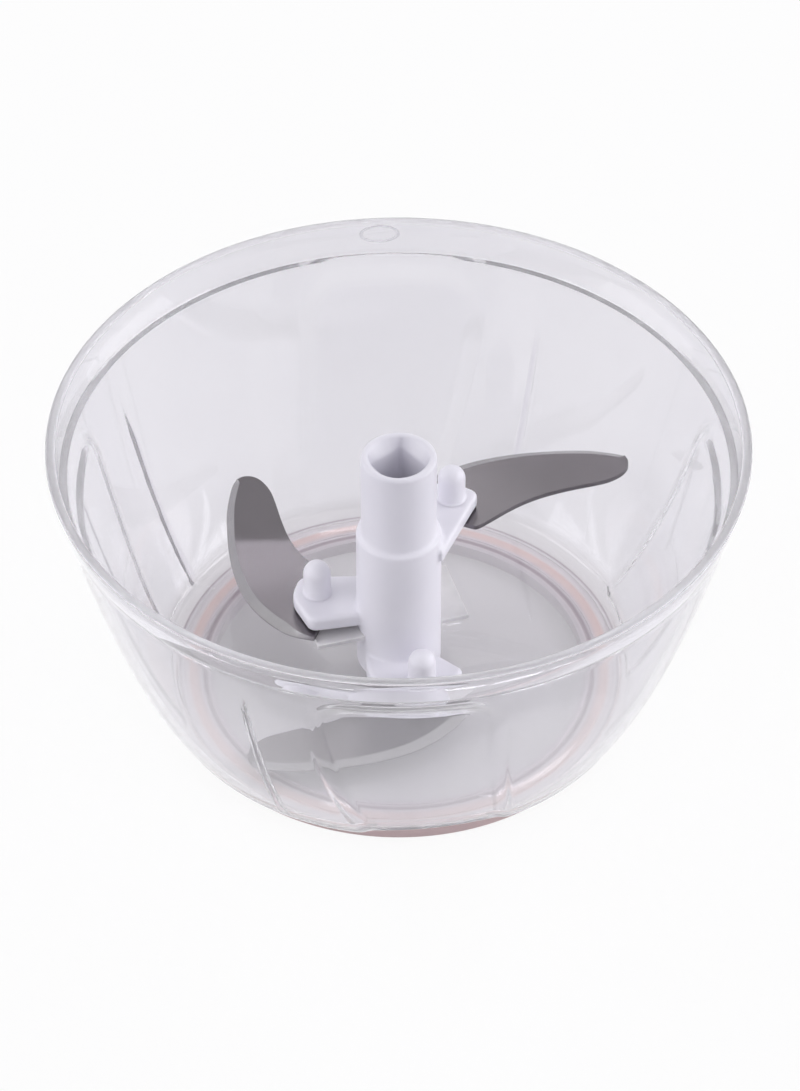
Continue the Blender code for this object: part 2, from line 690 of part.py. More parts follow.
def build_plate():
    top = plate_top()
    plate = add_object("carrier_plate", prism(plate_outline(0.0), top - PLATE_THICKNESS, top), BRIGHT_STEEL)
    arm = middle_arm()
    hole = rivet_hole(arm, top - PLATE_THICKNESS - CUTTER_REACH, top + CUTTER_REACH)
    boolean(plate, "DIFFERENCE", add_cutter("plate_hole_form", hole))
    return plate


def build_rivet(arm):
    """Domed head on the arm, stem through arm and blade, and a spread foot below."""
    foot_top = rivet_foot_top(arm)
    head_bottom = arm["top"] + FIT_GAP
    dome = arm["top"] + RIVET_HEAD_HEIGHT - RIVET_HEAD_RADIUS
    profile = [
        (RIVET_FOOT_RADIUS - RIVET_FOOT_HEIGHT / 2, foot_top - RIVET_FOOT_HEIGHT),
        (RIVET_FOOT_RADIUS, foot_top - RIVET_FOOT_HEIGHT / 2),
        (RIVET_FOOT_RADIUS, foot_top),
        (RIVET_STEM_RADIUS, foot_top),
        (RIVET_STEM_RADIUS, head_bottom),
        (RIVET_HEAD_RADIUS, head_bottom),
    ]
    for angle in range(0, 90, 15):
        turn = math.radians(angle)
        profile.append((RIVET_HEAD_RADIUS * math.cos(turn), dome + RIVET_HEAD_RADIUS * math.sin(turn)))
    form = turned_solid(profile, RIVET_SEGMENTS)
    bmesh.ops.translate(form, verts=form.verts, vec=rivet_place(arm))
    return add_object(f"{arm['name']}_blade_rivet", form, WHITE_PLASTIC)


def assemble():
    build_bowl()
    build_base_ring()
    build_spindle_pin()
    blade_axis = bpy.data.objects.new("blade_axis", None)
    bpy.context.scene.collection.objects.link(blade_axis)
    turning = [build_hub(), build_plate()]
    for arm in ARMS:
        turning += [build_blade(arm), build_rivet(arm)]
    for piece in turning:
        piece.parent = blade_axis


assemble()
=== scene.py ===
import bmesh
import bpy
import math
from mathutils import Matrix, Vector


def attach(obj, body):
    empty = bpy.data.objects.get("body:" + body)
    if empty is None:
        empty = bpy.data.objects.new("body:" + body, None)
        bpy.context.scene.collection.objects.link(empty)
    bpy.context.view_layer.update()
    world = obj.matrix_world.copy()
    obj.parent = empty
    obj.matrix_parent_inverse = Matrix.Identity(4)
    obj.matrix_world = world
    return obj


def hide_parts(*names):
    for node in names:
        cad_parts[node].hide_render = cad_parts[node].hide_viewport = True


# Mini food chopper: clear bowl with twisted wall panels on a pink base ring, and the blade set
# standing in it. Metres, +Z up. The bowl's axis is the Z axis and the photographed front faces -Y.

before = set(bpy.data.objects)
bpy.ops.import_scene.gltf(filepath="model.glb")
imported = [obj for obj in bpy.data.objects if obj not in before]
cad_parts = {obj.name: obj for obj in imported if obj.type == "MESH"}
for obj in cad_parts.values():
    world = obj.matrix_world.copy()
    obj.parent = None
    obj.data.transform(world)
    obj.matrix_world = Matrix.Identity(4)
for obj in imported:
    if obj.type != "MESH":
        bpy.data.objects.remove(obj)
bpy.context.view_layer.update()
print("frame loaded with", len(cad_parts), "nodes")

mm = 0.001
fitGap = 0.3 * mm  # clearance between pieces that touch
near = 0.01 * mm  # points this close count as one place
halfTurn, fullTurn = math.pi, 2 * math.pi


def polar(radius, azimuth, height=0.0):
    return Vector((radius * math.cos(azimuth), radius * math.sin(azimuth), height))


def softStep(share):
    share = min(max(share, 0.0), 1.0)
    return share * share * (3 - 2 * share)


def blended(start, end, share):
    return start + (end - start) * share


def movedVerts(extruded):
    return [item for item in extruded["geom"] if isinstance(item, bmesh.types.BMVert)]


def spunForm(profile, steps, closed):
    # The profile stands in the XZ plane; each vertex keeps its profile index in the "row" layer.
    form = bmesh.new()
    row = form.verts.layers.int.new("row")
    verts = [form.verts.new((radius, 0.0, height)) for radius, height in profile]
    for i, vert in enumerate(verts):
        vert[row] = i
    pairs = list(zip(verts, verts[1:] + verts[:1] if closed else verts[1:]))
    edges = [form.edges.new(pair) for pair in pairs]
    bmesh.ops.spin(
        form, geom=verts + edges, cent=(0, 0, 0), axis=(0, 0, 1), angle=fullTurn, steps=steps,
        use_merge=True,
    )
    bmesh.ops.remove_doubles(form, verts=form.verts[:], dist=0.001 * mm)
    return form


def arcPoints(centre, radius, start, end, steps):
    # Points of an arc in the profile plane, angles in degrees from the outward direction.
    points = []
    for i in range(steps + 1):
        angle = math.radians(blended(start, end, i / steps))
        points.append((centre[0] + radius * math.cos(angle), centre[1] + radius * math.sin(angle)))
    return points


def turned(form, verts, angle):
    matrix = Matrix.Rotation(angle, 3, "Z")
    bmesh.ops.rotate(form, verts=verts, cent=(0, 0, 0), matrix=matrix)


def rounded(form, edges, width, steps):
    bmesh.ops.bevel(
        form, geom=edges, offset=width, segments=steps, profile=0.5, affect="EDGES", material=-1,
    )


def levelEdges(form):
    return [e for e in form.edges if abs(e.verts[0].co.z - e.verts[1].co.z) < near]


def newPiece(name, form, material, smoothAngle=35.0):
    bmesh.ops.recalc_face_normals(form, faces=form.faces[:])
    mesh = bpy.data.meshes.new(name)
    form.to_mesh(mesh)
    form.free()
    mesh.shade_smooth()
    mesh.set_sharp_from_angle(angle=math.radians(smoothAngle))
    piece = bpy.data.objects.new(name, mesh)
    bpy.context.scene.collection.objects.link(piece)
    if material:
        mesh.materials.append(material)
    return piece


def fitted(piece, body, slot, *nodes):
    # Puts a finished piece on its body in place of the CAD nodes that it stands for.
    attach(piece, body)
    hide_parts(*nodes)
    print("made", piece.name, "with", len(piece.data.polygons), "faces")


def applied(piece):
    # Keeps the piece with its modifiers turned into mesh.
    graph = bpy.context.evaluated_depsgraph_get()
    mesh = bpy.data.meshes.new_from_object(piece.evaluated_get(graph))
    piece.modifiers.clear()
    old = piece.data
    piece.data = mesh
    bpy.data.meshes.remove(old)


def combined(piece, operation, tools):
    # Joins or cuts with the exact solver, then drops the tool shapes.
    for tool in tools:
        step = piece.modifiers.new(tool.name, "BOOLEAN")
        step.operation = operation
        step.solver = "EXACT"
        step.object = tool
    applied(piece)
    for tool in tools:
        bpy.data.objects.remove(tool, do_unlink=True)


# Materials

reliefDepth = 0.05 * mm


def noiseGroup():
    # Fine relief and gloss change of a moulded or rubbed surface.
    group = bpy.data.node_groups.new("fine surface", "ShaderNodeTree")
    socket, kind = group.interface.new_socket, "NodeSocketFloat"
    for name, value in (
        ("Relief size", 900.0), ("Patch size", 60.0), ("Gloss", 0.3), ("Gloss change", 0.05),
    ):
        socket(name, in_out="INPUT", socket_type=kind).default_value = value
    for name in ("Roughness", "Height", "Patches"):
        socket(name, in_out="OUTPUT", socket_type=kind)
    nodes, links = group.nodes, group.links
    inputs, outputs = nodes.new("NodeGroupInput"), nodes.new("NodeGroupOutput")
    place = nodes.new("ShaderNodeTexCoord")
    relief = nodes.new("ShaderNodeTexNoise")
    relief.inputs["Detail"].default_value = 3.0
    patches = nodes.new("ShaderNodeTexNoise")
    patches.inputs["Detail"].default_value = 2.0
    centred = nodes.new("ShaderNodeMath")
    centred.operation = "SUBTRACT"
    centred.inputs[1].default_value = 0.5
    swing = nodes.new("ShaderNodeMath")
    swing.operation = "MULTIPLY_ADD"
    for texture, size in ((relief, "Relief size"), (patches, "Patch size")):
        links.new(place.outputs["Object"], texture.inputs["Vector"])
        links.new(inputs.outputs[size], texture.inputs["Scale"])
    links.new(patches.outputs["Fac"], centred.inputs[0])
    links.new(centred.outputs[0], swing.inputs[0])
    links.new(inputs.outputs["Gloss change"], swing.inputs[1])
    links.new(inputs.outputs["Gloss"], swing.inputs[2])
    links.new(swing.outputs[0], outputs.inputs["Roughness"])
    links.new(relief.outputs["Fac"], outputs.inputs["Height"])
    links.new(patches.outputs["Fac"], outputs.inputs["Patches"])
    return group


fineSurface = noiseGroup()


def newMaterial(name, roughness, metallic=0.0, transmission=0.0, ior=1.5):
    material = bpy.data.materials.new(name)
    material.use_nodes = True
    shader = material.node_tree.nodes["Principled BSDF"]
    shader.inputs["Roughness"].default_value = roughness
    shader.inputs["Metallic"].default_value = metallic
    shader.inputs["Transmission Weight"].default_value = transmission
    shader.inputs["IOR"].default_value = ior
    return material, material.node_tree, shader


def placedSurface(tree, shader, look):
    # The shared surface group with this material's values, its relief through a Bump node.
    surface = tree.nodes.new("ShaderNodeGroup")
    surface.node_tree = fineSurface
    surface.inputs["Relief size"].default_value = look["reliefSize"]
    surface.inputs["Patch size"].default_value = look["patchSize"]
    surface.inputs["Gloss"].default_value = look["roughness"]
    surface.inputs["Gloss change"].default_value = look["roughnessChange"]
    bump = tree.nodes.new("ShaderNodeBump")
    bump.inputs["Strength"].default_value = look["relief"]
    bump.inputs["Distance"].default_value = reliefDepth
    tree.links.new(surface.outputs["Height"], bump.inputs["Height"])
    tree.links.new(bump.outputs["Normal"], shader.inputs["Normal"])
    tree.links.new(surface.outputs["Roughness"], shader.inputs["Roughness"])
    return surface


def mapRange(tree, value, start, end):
    # The value as a share: 0 at its start and 1 at its end.
    share = tree.nodes.new("ShaderNodeMapRange")
    share.inputs["From Min"].default_value = start
    share.inputs["From Max"].default_value = end
    tree.links.new(value, share.inputs["Value"])
    return share


def heightShare(tree, low, high):
    place = tree.nodes.new("ShaderNodeTexCoord")
    split = tree.nodes.new("ShaderNodeSeparateXYZ")
    tree.links.new(place.outputs["Object"], split.inputs["Vector"])
    return mapRange(tree, split.outputs["Z"], low, high)


def radiusShare(tree, inner, outer):
    place = tree.nodes.new("ShaderNodeTexCoord")
    flatten = tree.nodes.new("ShaderNodeMapping")
    flatten.inputs["Scale"].default_value = (1.0, 1.0, 0.0)
    radius = tree.nodes.new("ShaderNodeVectorMath")
    radius.operation = "LENGTH"
    tree.links.new(place.outputs["Object"], flatten.inputs["Vector"])
    tree.links.new(flatten.outputs["Vector"], radius.inputs[0])
    return mapRange(tree, radius.outputs["Value"], inner, outer)


def mixedColour(tree, factor, start, end):
    # Each end is a colour, or the output of a node that brings one.
    mix = tree.nodes.new("ShaderNodeMix")
    mix.data_type = "RGBA"
    tree.links.new(factor, mix.inputs["Factor"])
    for name, colour in (("A", start), ("B", end)):
        if isinstance(colour, tuple):
            mix.inputs[name].default_value = (*colour, 1.0)
        else:
            tree.links.new(colour, mix.inputs[name])
    return mix.outputs["Result"]


def colourRamp(tree, factor, stops):
    ramp = tree.nodes.new("ShaderNodeValToRGB")
    elements = ramp.color_ramp.elements
    for end, (position, colour) in zip((elements[0], elements[1]), (stops[0], stops[-1])):
        end.position = position
        end.color = (*colour, 1.0)
    for position, colour in stops[1:-1]:
        elements.new(position).color = (*colour, 1.0)
    tree.links.new(factor, ramp.inputs["Fac"])
    return ramp.outputs["Color"]


def scaled(colour, factor):
    return tuple(value * factor for value in colour)


def tintedPatches(tree, surface, shader, look):
    stops = [(0.35, look["colour"]), (0.65, look["otherColour"])]
    colour = colourRamp(tree, surface.outputs["Patches"], stops)
    tree.links.new(colour, shader.inputs["Base Color"])


def lampLight(tree, shader, tint):
    # Lets light from the lamps through the clear wall, as real thin plastic does.
    rays = tree.nodes.new("ShaderNodeLightPath")
    clear = tree.nodes.new("ShaderNodeBsdfTransparent")
    clear.inputs["Color"].default_value = (*tint, 1.0)
    mix = tree.nodes.new("ShaderNodeMixShader")
    tree.links.new(rays.outputs["Is Shadow Ray"], mix.inputs["Fac"])
    tree.links.new(shader.outputs[0], mix.inputs[1])
    tree.links.new(clear.outputs[0], mix.inputs[2])
    tree.links.new(mix.outputs[0], tree.nodes["Material Output"].inputs["Surface"])


def matteRim(tree, surface, shader, roughness):
    # The flat top of the rim is matter than the polished walls.
    top, edge = bowlSize["height"], bowlSize["rimRound"]
    share = heightShare(tree, top - edge, top - edge / 4)
    share.inputs["To Max"].default_value = roughness
    total = tree.nodes.new("ShaderNodeMath")
    tree.links.new(surface.outputs["Roughness"], total.inputs[0])
    tree.links.new(share.outputs["Result"], total.inputs[1])
    tree.links.new(total.outputs[0], shader.inputs["Roughness"])


def paintedFloorShade(tree, shader, colour):
    # Painted shade: the thick floor of the bowl is tinted greyer than its walls, standing in for
    # the shade on the table beneath it.
    floor, base = bowlSize["floorTop"], shader.inputs["Base Color"]
    share = heightShare(tree, floor + bowlSize["padRise"], floor + bowlSize["floorFillet"])
    wall = base.links[0].from_socket
    tree.links.new(mixedColour(tree, share.outputs["Result"], colour, wall), base)


def paintedRibShade(tree, shader, colour):
    # Painted shade: the ribs are tinted darker than the thin wall, standing in for the dark lines
    # that their bending of light shows; the mesh says where they are.
    ribShade, base = tree.nodes.new("ShaderNodeAttribute"), shader.inputs["Base Color"]
    ribShade.attribute_name = "ribShade"
    wall = base.links[0].from_socket
    tree.links.new(mixedColour(tree, ribShade.outputs["Fac"], wall, colour), base)


def clearPlastic():
    look = {
        "colour": (0.93, 0.925, 0.945), "otherColour": (0.92, 0.915, 0.94),
        "roughness": 0.02, "roughnessChange": 0.02,
        "reliefSize": 90.0, "patchSize": 40.0, "relief": 0.02,
        "lampTint": (0.91, 0.90, 0.92), "clearness": 0.9, "ior": 1.49, "rimRoughness": 0.45,
        "floorShadeColour": (0.855, 0.845, 0.865), "ribShadeColour": (0.80, 0.78, 0.84),
    }
    material, tree, shader = newMaterial(
        "clear plastic", look["roughness"], transmission=look["clearness"], ior=look["ior"],
    )
    surface = placedSurface(tree, shader, look)
    matteRim(tree, surface, shader, look["rimRoughness"])
    tintedPatches(tree, surface, shader, look)
    # Painted shade: the floor of the bowl is tinted greyer and the ribs darker.
    paintedFloorShade(tree, shader, look["floorShadeColour"])
    paintedRibShade(tree, shader, look["ribShadeColour"])
    lampLight(tree, shader, look["lampTint"])
    return material


def whitePlastic():
    look = {
        "colour": (0.80, 0.79, 0.845), "otherColour": (0.785, 0.775, 0.835),
        "roughness": 0.38, "roughnessChange": 0.08,
        "reliefSize": 1500.0, "patchSize": 120.0, "relief": 0.12,
    }
    material, tree, shader = newMaterial("white plastic", look["roughness"])
    tintedPatches(tree, placedSurface(tree, shader, look), shader, look)
    return material


def pinkRubber():
    # Dusty pink rubber. Seen from above it has rings, each at its radius in millimetres: the pink
    # bands are the rubber's own colour, the white lines painted highlights on the fins' edges and
    # the dark lines painted shade between the fins. Below the grooves its sides have the base
    # colour, a darker pink that is partly painted shade, except close to the bore.
    look = {
        # White rings are painted highlights and the darkest rings painted shade.
        "rings": [
            (34.0, (0.80, 0.77, 0.79)), (34.7, (0.82, 0.77, 0.80)), (35.0, (0.95, 0.89, 0.92)),
            (35.3, (0.62, 0.54, 0.57)), (35.75, (0.40, 0.33, 0.36)), (36.0, (0.60, 0.52, 0.55)),
            (36.35, (1.0, 0.97, 1.0)), (36.75, (0.88, 0.79, 0.80)), (37.3, (0.99, 0.80, 0.76)),
            (38.3, (1.0, 0.77, 0.72)), (38.75, (1.0, 0.88, 0.86)), (39.1, (1.0, 0.98, 0.98)),
            (39.6, (0.93, 0.89, 0.91)), (40.05, (1.0, 1.0, 1.0)), (40.35, (0.86, 0.83, 0.86)),
            (40.65, (0.50, 0.44, 0.47)), (40.9, (0.75, 0.71, 0.73)),
        ],
        "base": (0.58, 0.45, 0.45),
        "baseBelowGrooves": (0.15 * mm, 0.05 * mm), "closeToBore": (0.03, 0.06),
        "roughness": 0.55, "roughnessChange": 0.12,
        "reliefSize": 1300.0, "patchSize": 150.0, "relief": 0.35,
    }
    material, tree, shader = newMaterial("pink rubber", look["roughness"])
    placedSurface(tree, shader, look)
    inner, outer = look["rings"][0][0] * mm, look["rings"][-1][0] * mm
    share = radiusShare(tree, inner, outer).outputs["Result"]
    stops = [((radius * mm - inner) / (outer - inner), tone) for radius, tone in look["rings"]]
    low, high = (ringSize["grooveFloor"] - depth for depth in look["baseBelowGrooves"])
    above = heightShare(tree, low, high)
    nearBore = mapRange(tree, share, *look["closeToBore"])
    nearBore.inputs["To Min"].default_value = 1.0
    nearBore.inputs["To Max"].default_value = 0.0
    either = tree.nodes.new("ShaderNodeMath")
    either.operation = "MAXIMUM"
    tree.links.new(above.outputs["Result"], either.inputs[0])
    tree.links.new(nearBore.outputs["Result"], either.inputs[1])
    # The sides take the darker base colour, partly painted shade; the tops take the rings with
    # their painted highlights and shade.
    colour = mixedColour(tree, either.outputs[0], look["base"], colourRamp(tree, share, stops))
    tree.links.new(colour, shader.inputs["Base Color"])
    return material


def groundSteel():
    # Satin blade steel. The UV map runs along the blade (U) and across it (V), and the bevel is
    # its last part.
    look = {
        "face": (0.155, 0.143, 0.155), "faceChange": 1.12,
        "bevel": (0.37, 0.36, 0.375), "streaks": (0.88, 1.10), "streakScale": (260.0, 3.0, 1.0),
        "bevelStart": 0.79, "bevelBlend": 0.01, "metallic": 0.85,
        "roughness": 0.25, "roughnessChange": 0.05,
        "reliefSize": 3500.0, "patchSize": 90.0, "relief": 0.03,
    }
    material, tree, shader = newMaterial(
        "ground blade steel", look["roughness"], metallic=look["metallic"],
    )
    surface = placedSurface(tree, shader, look)
    nodes, links = tree.nodes, tree.links
    uv = nodes.new("ShaderNodeUVMap")
    uv.uv_map = "blade"
    split = nodes.new("ShaderNodeSeparateXYZ")
    stretch = nodes.new("ShaderNodeMapping")
    stretch.inputs["Scale"].default_value = look["streakScale"]
    grind = nodes.new("ShaderNodeTexNoise")
    grind.inputs["Scale"].default_value = 1.0
    grind.inputs["Detail"].default_value = 2.0
    links.new(uv.outputs["UV"], split.inputs["Vector"])
    links.new(uv.outputs["UV"], stretch.inputs["Vector"])
    links.new(stretch.outputs["Vector"], grind.inputs["Vector"])
    start, blend = look["bevelStart"], look["bevelBlend"]
    mask = mapRange(tree, split.outputs["Y"], start - blend, start + blend)
    dark, light = (scaled(look["bevel"], factor) for factor in look["streaks"])
    streaks = mixedColour(tree, grind.outputs["Fac"], dark, light)
    lighter = scaled(look["face"], look["faceChange"])
    face = mixedColour(tree, surface.outputs["Patches"], look["face"], lighter)
    colour = mixedColour(tree, mask.outputs["Result"], face, streaks)
    links.new(colour, shader.inputs["Base Color"])
    return material


def plateSteel():
    look = {
        "colour": (0.82, 0.81, 0.82), "otherColour": (0.75, 0.74, 0.75), "metallic": 0.3,
        "roughness": 0.5, "roughnessChange": 0.14,
        "reliefSize": 1800.0, "patchSize": 180.0, "relief": 0.12,
    }
    material, tree, shader = newMaterial(
        "plate steel", look["roughness"], metallic=look["metallic"],
    )
    tintedPatches(tree, placedSurface(tree, shader, look), shader, look)
    return material


# Bowl: heights above the table and radii from the axis

bowlSize = {
    "height": 58.5 * mm,
    "rimRadius": 62.0 * mm,
    "rimRound": 0.55 * mm,
    "bandHeight": 6.0 * mm,
    "bandFlare": 1.4 * mm,
    "bandThickness": 1.8 * mm,
    "insideFlare": 0.4 * mm,
    "bandStep": 0.2 * mm,
    "lidSeatDepth": 6.6 * mm,
    "seatCorner": 0.25 * mm,
    "wall": 1.8 * mm,
    "knee": (52.05 * mm, 17.3 * mm),
    "heel": (44.05 * mm, 4.4 * mm),
    "heelRound": 1.0 * mm,
    "heelUnderside": 3.5 * mm,
    "floorTop": 4.7 * mm,
    "floorThickness": 1.8 * mm,
    "floorFillet": 2.2 * mm,
    "padRadius": 6.2 * mm,
    "padRise": 0.5 * mm,
}
panelSize = {
    "count": 4,
    "halfAngle": math.radians(16.3),
    "turn": math.radians(1.2),
    "twist": math.radians(7.4),
    "top": 48.8 * mm,  # height of the middle of the arch's ramp
    "corner": 7.5 * mm,
    "ramp": 3.6 * mm,
    "edgeWidth": 3.4 * mm,
    "sink": 1.3 * mm,
    "sinkAtEdge": 0.78 * mm,
    "softness": 0.4,  # 0 gives a straight ramp with two creases, 1 a soft one
}
ribSize = {
    "turn": math.radians(62.5),
    "width": 1.1 * mm,
    "footWidth": 2.2 * mm,
    "proud": 0.62 * mm,
    "top": 45.5 * mm,
    "runOut": 10.0 * mm,
    "roundness": 0.55,
}
ringSize = {
    "innerFin": (34.0 * mm, 34.9 * mm),  # radii of its two sides
    "middleFin": (36.5 * mm, 38.4 * mm),
    "outerFin": (40.0 * mm, 40.9 * mm),
    "grooveFloor": 2.35 * mm,
    "round": 0.3 * mm,
}
markSize = {
    "azimuth": math.radians(93.4),
    "height": 56.1 * mm,
    "wide": 7.5 * mm,
    "tall": 3.7 * mm,
    "proud": 0.3 * mm,
    "gap": 0.02 * mm,
}
pinSize = {
    "radius": 2.5 * mm, "top": 30.0 * mm, "bottom": 1.6 * mm,
    "bossWall": 2.0 * mm, "bossBottom": 0.3 * mm,
}
fineness = {
    "edgeColumns": 12, "panelColumns": 40, "lobeColumns": 24, "ribColumns": 20,
    "narrowLobeColumns": 10, "edgeMargin": 1.3, "ribMargin": 1.1,
    "shoulderRows": 5, "rampRows": 12, "wallRows": 42, "filletRows": 6, "heelRows": 5,
    "floorRadii": (14.0 * mm, 22.0 * mm, 29.0 * mm, 34.0 * mm, 37.5 * mm),
    "ringSteps": 256, "pinSteps": 48, "shaftSteps": 96, "socketSteps": 64, "markSteps": 64,
}

bandBottom = bowlSize["height"] - bowlSize["bandHeight"]
lidSeat = bowlSize["height"] - bowlSize["lidSeatDepth"]
shoulderRadius = bowlSize["rimRadius"] - bowlSize["bandFlare"] - bowlSize["bandStep"]
floorUnderside = bowlSize["floorTop"] - bowlSize["floorThickness"]
finTop = floorUnderside - fitGap
padTop = bowlSize["floorTop"] + bowlSize["padRise"]
pinBore = pinSize["radius"] + fitGap

clearMaterial = clearPlastic()
whiteMaterial = whitePlastic()
pinkMaterial = pinkRubber()
bladeMaterial = groundSteel()
plateMaterial = plateSteel()
print("materials ready")


def wallAt(height):
    # Outer radius and slope of the wall: a parabola from the shoulder over the knee to the heel.
    kneeRadius, kneeHeight = bowlSize["knee"]
    heelRadius, heelHeight = bowlSize["heel"]
    bend = bandBottom - 2 * kneeHeight + heelHeight
    run = 2 * (kneeHeight - bandBottom)
    rest = bandBottom - min(height, bandBottom)
    t = 2 * rest / (-run + math.sqrt(max(run * run - 4 * bend * rest, 0.0)))
    radius = (1 - t) ** 2 * shoulderRadius + 2 * (1 - t) * t * kneeRadius + t * t * heelRadius
    outwards = (1 - t) * (kneeRadius - shoulderRadius) + t * (heelRadius - kneeRadius)
    upwards = (1 - t) * (kneeHeight - bandBottom) + t * (heelHeight - kneeHeight)
    return radius, outwards / upwards


archRadius = wallAt(panelSize["top"])[0]


def panelTwist(height):
    top, heelHeight = panelSize["top"], bowlSize["heel"][1]
    return panelSize["twist"] * min(max((top - height) / (top - heelHeight), 0.0), 1.0) ** 2


def archHeight(offset):
    # Height of the middle of the ramp at an angle from the panel's middle.
    corner = panelSize["corner"]
    inwards = abs(offset) * archRadius - (panelSize["halfAngle"] * archRadius - corner)
    if inwards <= 0:
        return panelSize["top"]
    return panelSize["top"] - corner + math.sqrt(max(corner * corner - inwards * inwards, 0.0))


def panelDepth(offset, height):
    # How deep the wall is sunk: not outside the arch's outline, over a ramp along it, fully inside.
    corner = panelSize["corner"]
    sideways = abs(offset) * archRadius - (panelSize["halfAngle"] * archRadius - corner)
    upwards = height - (panelSize["top"] - corner)
    if sideways > 0 and upwards > 0:
        distance = math.hypot(sideways, upwards) - corner
        rampShare = (upwards / math.hypot(sideways, upwards)) ** 2
    else:
        distance = max(sideways, upwards) - corner
        rampShare = 1.0 if upwards > sideways else 0.0
    width = blended(panelSize["edgeWidth"], panelSize["ramp"], rampShare)
    middle = 1 - min(abs(offset) / panelSize["halfAngle"], 1.0) ** 2
    step = min(max(0.5 - distance / width, 0.0), 1.0)
    step = blended(step, softStep(step), panelSize["softness"])
    return blended(panelSize["sinkAtEdge"], panelSize["sink"], middle) * step


def ribHeight(azimuth, height):
    quarter = fullTurn / panelSize["count"]
    away = (azimuth - ribSize["turn"] + quarter / 2) % quarter - quarter / 2
    lowering = min(max((ribSize["top"] - height) / ribSize["top"], 0.0), 1.0)
    width = blended(ribSize["width"], ribSize["footWidth"], lowering)
    across = abs(away) * wallAt(height)[0] / (width / 2)
    if across >= 1:
        return 0.0
    fade = softStep((ribSize["top"] - height) / ribSize["runOut"])
    return ribSize["proud"] * fade * (1 - across ** 2) ** ribSize["roundness"]


def bowlColumns():
    # Columns of the wall, each with its angle at the rim and its share of the twist. They are
    # crowded where the shape changes.
    quarter = fullTurn / panelSize["count"]
    edge = panelSize["edgeWidth"] / 2 / archRadius * fineness["edgeMargin"]
    half = panelSize["halfAngle"]
    rib = ribSize["turn"] - panelSize["turn"]
    ribHalf = ribSize["footWidth"] / 2 / bowlSize["heel"][0] * fineness["ribMargin"]
    stretches = [
        (-half - edge, -half + edge, 1.0, 1.0, fineness["edgeColumns"], 0.0),
        (-half + edge, half - edge, 1.0, 1.0, fineness["panelColumns"], 0.6),
        (half - edge, half + edge, 1.0, 1.0, fineness["edgeColumns"], 0.0),
        (half + edge, rib - ribHalf, 1.0, 0.0, fineness["lobeColumns"], 0.3),
        (rib - ribHalf, rib + ribHalf, 0.0, 0.0, fineness["ribColumns"], 0.0),
        (rib + ribHalf, quarter - half - edge, 0.0, 1.0, fineness["narrowLobeColumns"], 0.0),
    ]
    columns = []
    for panel in range(panelSize["count"]):
        middle = panelSize["turn"] + panel * quarter
        for start, end, startShare, endShare, count, crowding in stretches:
            for i in range(count):
                even = i / count
                share = blended(even, (1 - math.cos(halfTurn * even)) / 2, crowding)
                angle = middle + blended(start, end, share)
                columns.append((angle, blended(startShare, endShare, even)))
    return columns


def offsetInPanel(azimuth):
    quarter = fullTurn / panelSize["count"]
    return (azimuth - panelSize["turn"] + quarter / 2) % quarter - quarter / 2


def wallPoint(angle, twistShare, share, inner):
    # share runs from 0 at the top of the wall to 1 at its foot, in rows that bend over the arch.
    offset = offsetInPanel(angle)
    top = lidSeat if inner else bandBottom
    foot = bowlSize["floorTop"] + bowlSize["floorFillet"] if inner else bowlSize["heel"][1]
    over = archHeight(offset) + panelSize["ramp"] / 2
    under = over - panelSize["ramp"]
    rows = fineness["shoulderRows"], fineness["rampRows"], fineness["wallRows"]
    row = share * sum(rows)
    if row <= rows[0]:
        height = blended(top, over, row / rows[0])
    elif row <= rows[0] + rows[1]:
        height = blended(over, under, (row - rows[0]) / rows[1])
    else:
        height = blended(under, foot, (row - rows[0] - rows[1]) / rows[2])
    radius, slope = wallAt(height)
    radius -= panelDepth(offset, height)
    if inner:
        radius -= bowlSize["wall"] * math.hypot(1.0, slope) + ribHeight(angle, height)
    return radius, angle + twistShare * panelTwist(height), height


